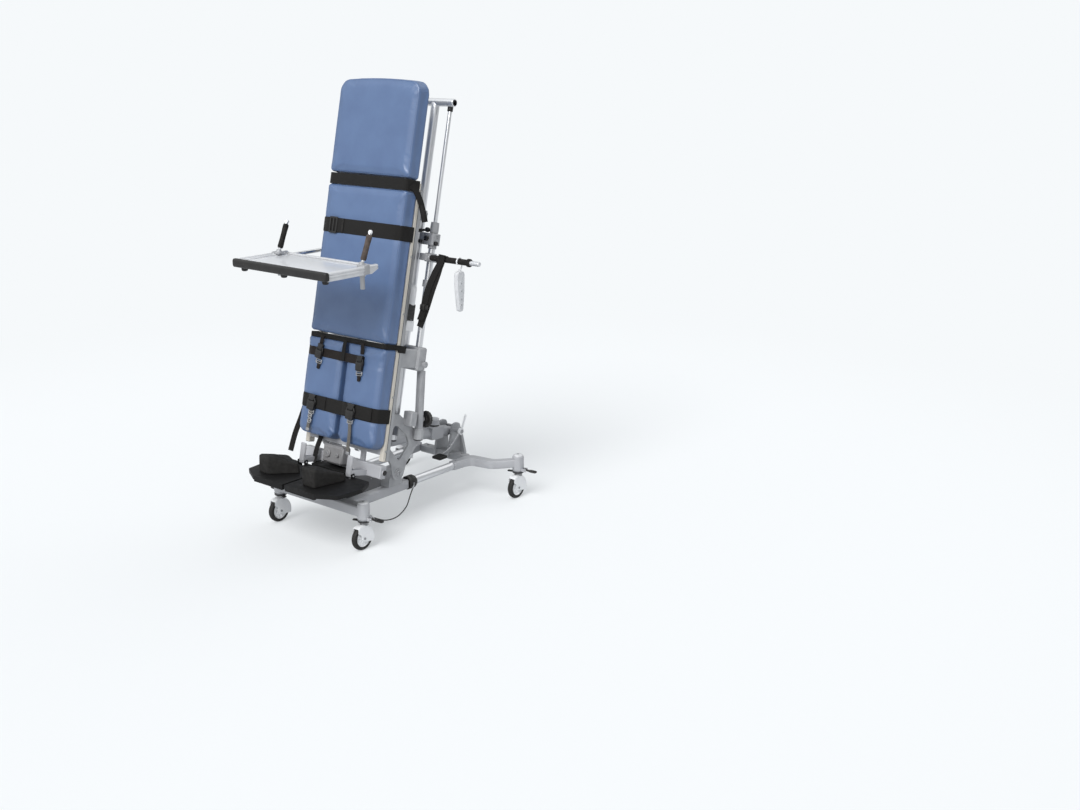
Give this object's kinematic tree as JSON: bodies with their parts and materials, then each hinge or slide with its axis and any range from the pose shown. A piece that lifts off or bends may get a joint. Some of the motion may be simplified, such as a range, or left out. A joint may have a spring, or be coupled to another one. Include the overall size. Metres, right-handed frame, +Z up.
{
  "type": "tilt table",
  "caption": "Tilt table: a padded lying surface with straps, footplates and a tray on side masts, stood up by an actuator on a wheeled base.",
  "frame": {"origin": "on the floor, below the middle of the object's box", "axes": "+Z up, -Y to the foot end, +X to the patient's left-hand side"},
  "size_m": [1.1813, 1.3535, 2.2786],
  "materials": {
    "painted_steel": "semi-gloss grey paint",
    "cast_aluminium": "painted casting",
    "silver_tube": "anodised",
    "chromed_steel": "polished",
    "edge_profile": "powder coat",
    "upholstery": "grained vinyl over foam",
    "webbing": "woven",
    "black_plastic": "matte",
    "foam": "closed-cell foam",
    "dark_plate": "matt paint",
    "white_plastic": "satin",
    "tyre_rubber": "matte"
  },
  "bodies": {
    "base": {"front_frame": "painted_steel", "rail_tube_left": "silver_tube", "rail_tube_right": "silver_tube", "rear_leg_left": "painted_steel", "rear_leg_right": "painted_steel", "rear_bracket": "cast_aluminium", "base_plate": "dark_plate", "pivot_block_left": "cast_aluminium", "pivot_block_right": "cast_aluminium", "brake_cable": "black_plastic"},
    "tilt_frame": {"lying_frame": "edge_profile", "foot_carrier": "painted_steel", "swing_bracket_left": "cast_aluminium", "swing_bracket_right": "cast_aluminium", "mast_left": "silver_tube", "mast_right": "silver_tube", "side_column_left": "silver_tube", "side_column_right": "silver_tube", "column_head_left": "cast_aluminium", "column_head_right": "cast_aluminium", "cross_bracket": "cast_aluminium", "drive_unit": "black_plastic", "head_pad": "upholstery", "torso_pad": "upholstery", "leg_pad_left": "upholstery", "leg_pad_right": "upholstery", "head_strap": "webbing", "chest_belt": "webbing", "knee_strap": "webbing", "ankle_strap": "webbing"},
    "push_handle": {"push_handle": "silver_tube"},
    "hand_wheel": {"hand_wheel": "black_plastic"},
    "side_bar": {"side_bar": "cast_aluminium", "hand_control": "white_plastic", "stowed_strap": "webbing"},
    "tray_carrier": {"tray_carrier": "cast_aluminium"},
    "tray_arm": {"tray_arm": "chromed_steel"},
    "tray": {"tray_panel": "white_plastic", "tray_bumper": "black_plastic", "tray_grip_left": "black_plastic", "tray_grip_right": "black_plastic"},
    "footplate_left": {"footplate_left": "black_plastic", "foot_block_left": "foam"},
    "footplate_right": {"footplate_right": "black_plastic", "foot_block_right": "foam"},
    "actuator_body": {"actuator_body": "painted_steel"},
    "actuator_rod": {"actuator_rod": "chromed_steel"},
    "release_pedal": {"release_pedal": "white_plastic"},
    "caster_front_left": {"caster_housing_front_left": "white_plastic"},
    "wheel_front_left": {"caster_wheel_front_left": "tyre_rubber"},
    "brake_pedal_front_left": {"brake_pedal_front_left": "black_plastic"},
    "caster_front_right": {"caster_housing_front_right": "white_plastic"},
    "wheel_front_right": {"caster_wheel_front_right": "tyre_rubber"},
    "brake_pedal_front_right": {"brake_pedal_front_right": "black_plastic"},
    "caster_rear_left": {"caster_housing_rear_left": "white_plastic"},
    "wheel_rear_left": {"caster_wheel_rear_left": "tyre_rubber"},
    "brake_pedal_rear_left": {"brake_pedal_rear_left": "black_plastic"},
    "caster_rear_right": {"caster_housing_rear_right": "white_plastic"},
    "wheel_rear_right": {"caster_wheel_rear_right": "tyre_rubber"},
    "brake_pedal_rear_right": {"brake_pedal_rear_right": "black_plastic"}
  },
  "joints": [
    {"name": "tilt", "type": "hinge", "parent": "base", "child": "tilt_frame", "pos_m": [0, -0.215, 0.3], "axis": [1, 0, 0], "range_deg": [-77, 5]},
    {"name": "actuator_swing", "type": "hinge", "parent": "base", "child": "actuator_body", "pos_m": [0, 0.45, 0.33], "axis": [-1, 0, 0], "range_deg": [-3.2, 0.4]},
    {"name": "actuator_stroke", "type": "slide", "parent": "actuator_body", "child": "actuator_rod", "axis": [0, -0.9946, 0.1039], "range_m": [-0.135, 0.01]},
    {"name": "push_handle_slide", "type": "slide", "parent": "tilt_frame", "child": "push_handle", "axis": [0, 0.225, 0.9744], "range_m": [-0.25, 0]},
    {"name": "hand_wheel_spin", "type": "hinge", "parent": "tilt_frame", "child": "hand_wheel", "pos_m": [0.27, -0.03961, 0.55428], "axis": [0, 0.9744, -0.225], "continuous": true},
    {"name": "side_bar_slide", "type": "slide", "parent": "tilt_frame", "child": "side_bar", "axis": [0, 0.225, 0.9744], "range_m": [-0.09, 0.022]},
    {"name": "tray_height", "type": "slide", "parent": "tilt_frame", "child": "tray_carrier", "axis": [0, 0.225, 0.9744], "range_m": [-0.35, 0.055]},
    {"name": "tray_depth", "type": "slide", "parent": "tray_carrier", "child": "tray_arm", "axis": [0, -1, 0], "range_m": [-0.1, 0.08]},
    {"name": "tray_tilt", "type": "hinge", "parent": "tray_arm", "child": "tray", "pos_m": [-0.352, -0.4, 1.392], "axis": [1, 0, 0], "range_deg": [-12, 12]},
    {"name": "footplate_left_hinge", "type": "hinge", "parent": "tilt_frame", "child": "footplate_left", "pos_m": [-0.175, -0.486, 0.3465], "axis": [1, 0, 0], "range_deg": [-20, 15]},
    {"name": "footplate_right_hinge", "type": "hinge", "parent": "tilt_frame", "child": "footplate_right", "pos_m": [0.175, -0.486, 0.3465], "axis": [1, 0, 0], "range_deg": [-20, 15]},
    {"name": "release_pedal_press", "type": "hinge", "parent": "base", "child": "release_pedal", "pos_m": [0.112, 0.422, 0.345], "axis": [1, 0, 0], "range_deg": [0, 12], "stiffness_Nm_per_rad": 3, "springref_deg": -28.65},
    {"name": "swivel_front_left", "type": "hinge", "parent": "base", "child": "caster_front_left", "pos_m": [-0.315, -0.53, 0.15], "axis": [0, 0, 1], "continuous": true},
    {"name": "roll_front_left", "type": "hinge", "parent": "caster_front_left", "child": "wheel_front_left", "pos_m": [-0.315, -0.548, 0.0625], "axis": [1, 0, 0], "continuous": true},
    {"name": "brake_front_left", "type": "hinge", "parent": "base", "child": "brake_pedal_front_left", "pos_m": [-0.35685, -0.5164, 0.162], "axis": [-0.309, -0.9511, 0], "range_deg": [0, 20]},
    {"name": "swivel_front_right", "type": "hinge", "parent": "base", "child": "caster_front_right", "pos_m": [0.315, -0.53, 0.15], "axis": [0, 0, 1], "continuous": true},
    {"name": "roll_front_right", "type": "hinge", "parent": "caster_front_right", "child": "wheel_front_right", "pos_m": [0.315, -0.548, 0.0625], "axis": [1, 0, 0], "continuous": true},
    {"name": "brake_front_right", "type": "hinge", "parent": "base", "child": "brake_pedal_front_right", "pos_m": [0.35685, -0.5164, 0.162], "axis": [-0.309, 0.9511, 0], "range_deg": [0, 20]},
    {"name": "swivel_rear_left", "type": "hinge", "parent": "base", "child": "caster_rear_left", "pos_m": [-0.44, 0.53, 0.15], "axis": [0, 0, 1], "continuous": true},
    {"name": "roll_rear_left", "type": "hinge", "parent": "caster_rear_left", "child": "wheel_rear_left", "pos_m": [-0.44, 0.512, 0.0625], "axis": [1, 0, 0], "continuous": true},
    {"name": "brake_rear_left", "type": "hinge", "parent": "base", "child": "brake_pedal_rear_left", "pos_m": [-0.48185, 0.5436, 0.162], "axis": [-0.309, -0.9511, 0], "range_deg": [0, 20]},
    {"name": "swivel_rear_right", "type": "hinge", "parent": "base", "child": "caster_rear_right", "pos_m": [0.44, 0.53, 0.15], "axis": [0, 0, 1], "continuous": true},
    {"name": "roll_rear_right", "type": "hinge", "parent": "caster_rear_right", "child": "wheel_rear_right", "pos_m": [0.44, 0.512, 0.0625], "axis": [1, 0, 0], "continuous": true},
    {"name": "brake_rear_right", "type": "hinge", "parent": "base", "child": "brake_pedal_rear_right", "pos_m": [0.48185, 0.5436, 0.162], "axis": [-0.309, 0.9511, 0], "range_deg": [0, 20]}
  ],
  "couplings": [
    {"joint": "actuator_stroke", "follows": "tilt", "m_per_rad": 0.098903},
    {"joint": "actuator_swing", "follows": "tilt", "ratio": 0.038593}
  ]
}
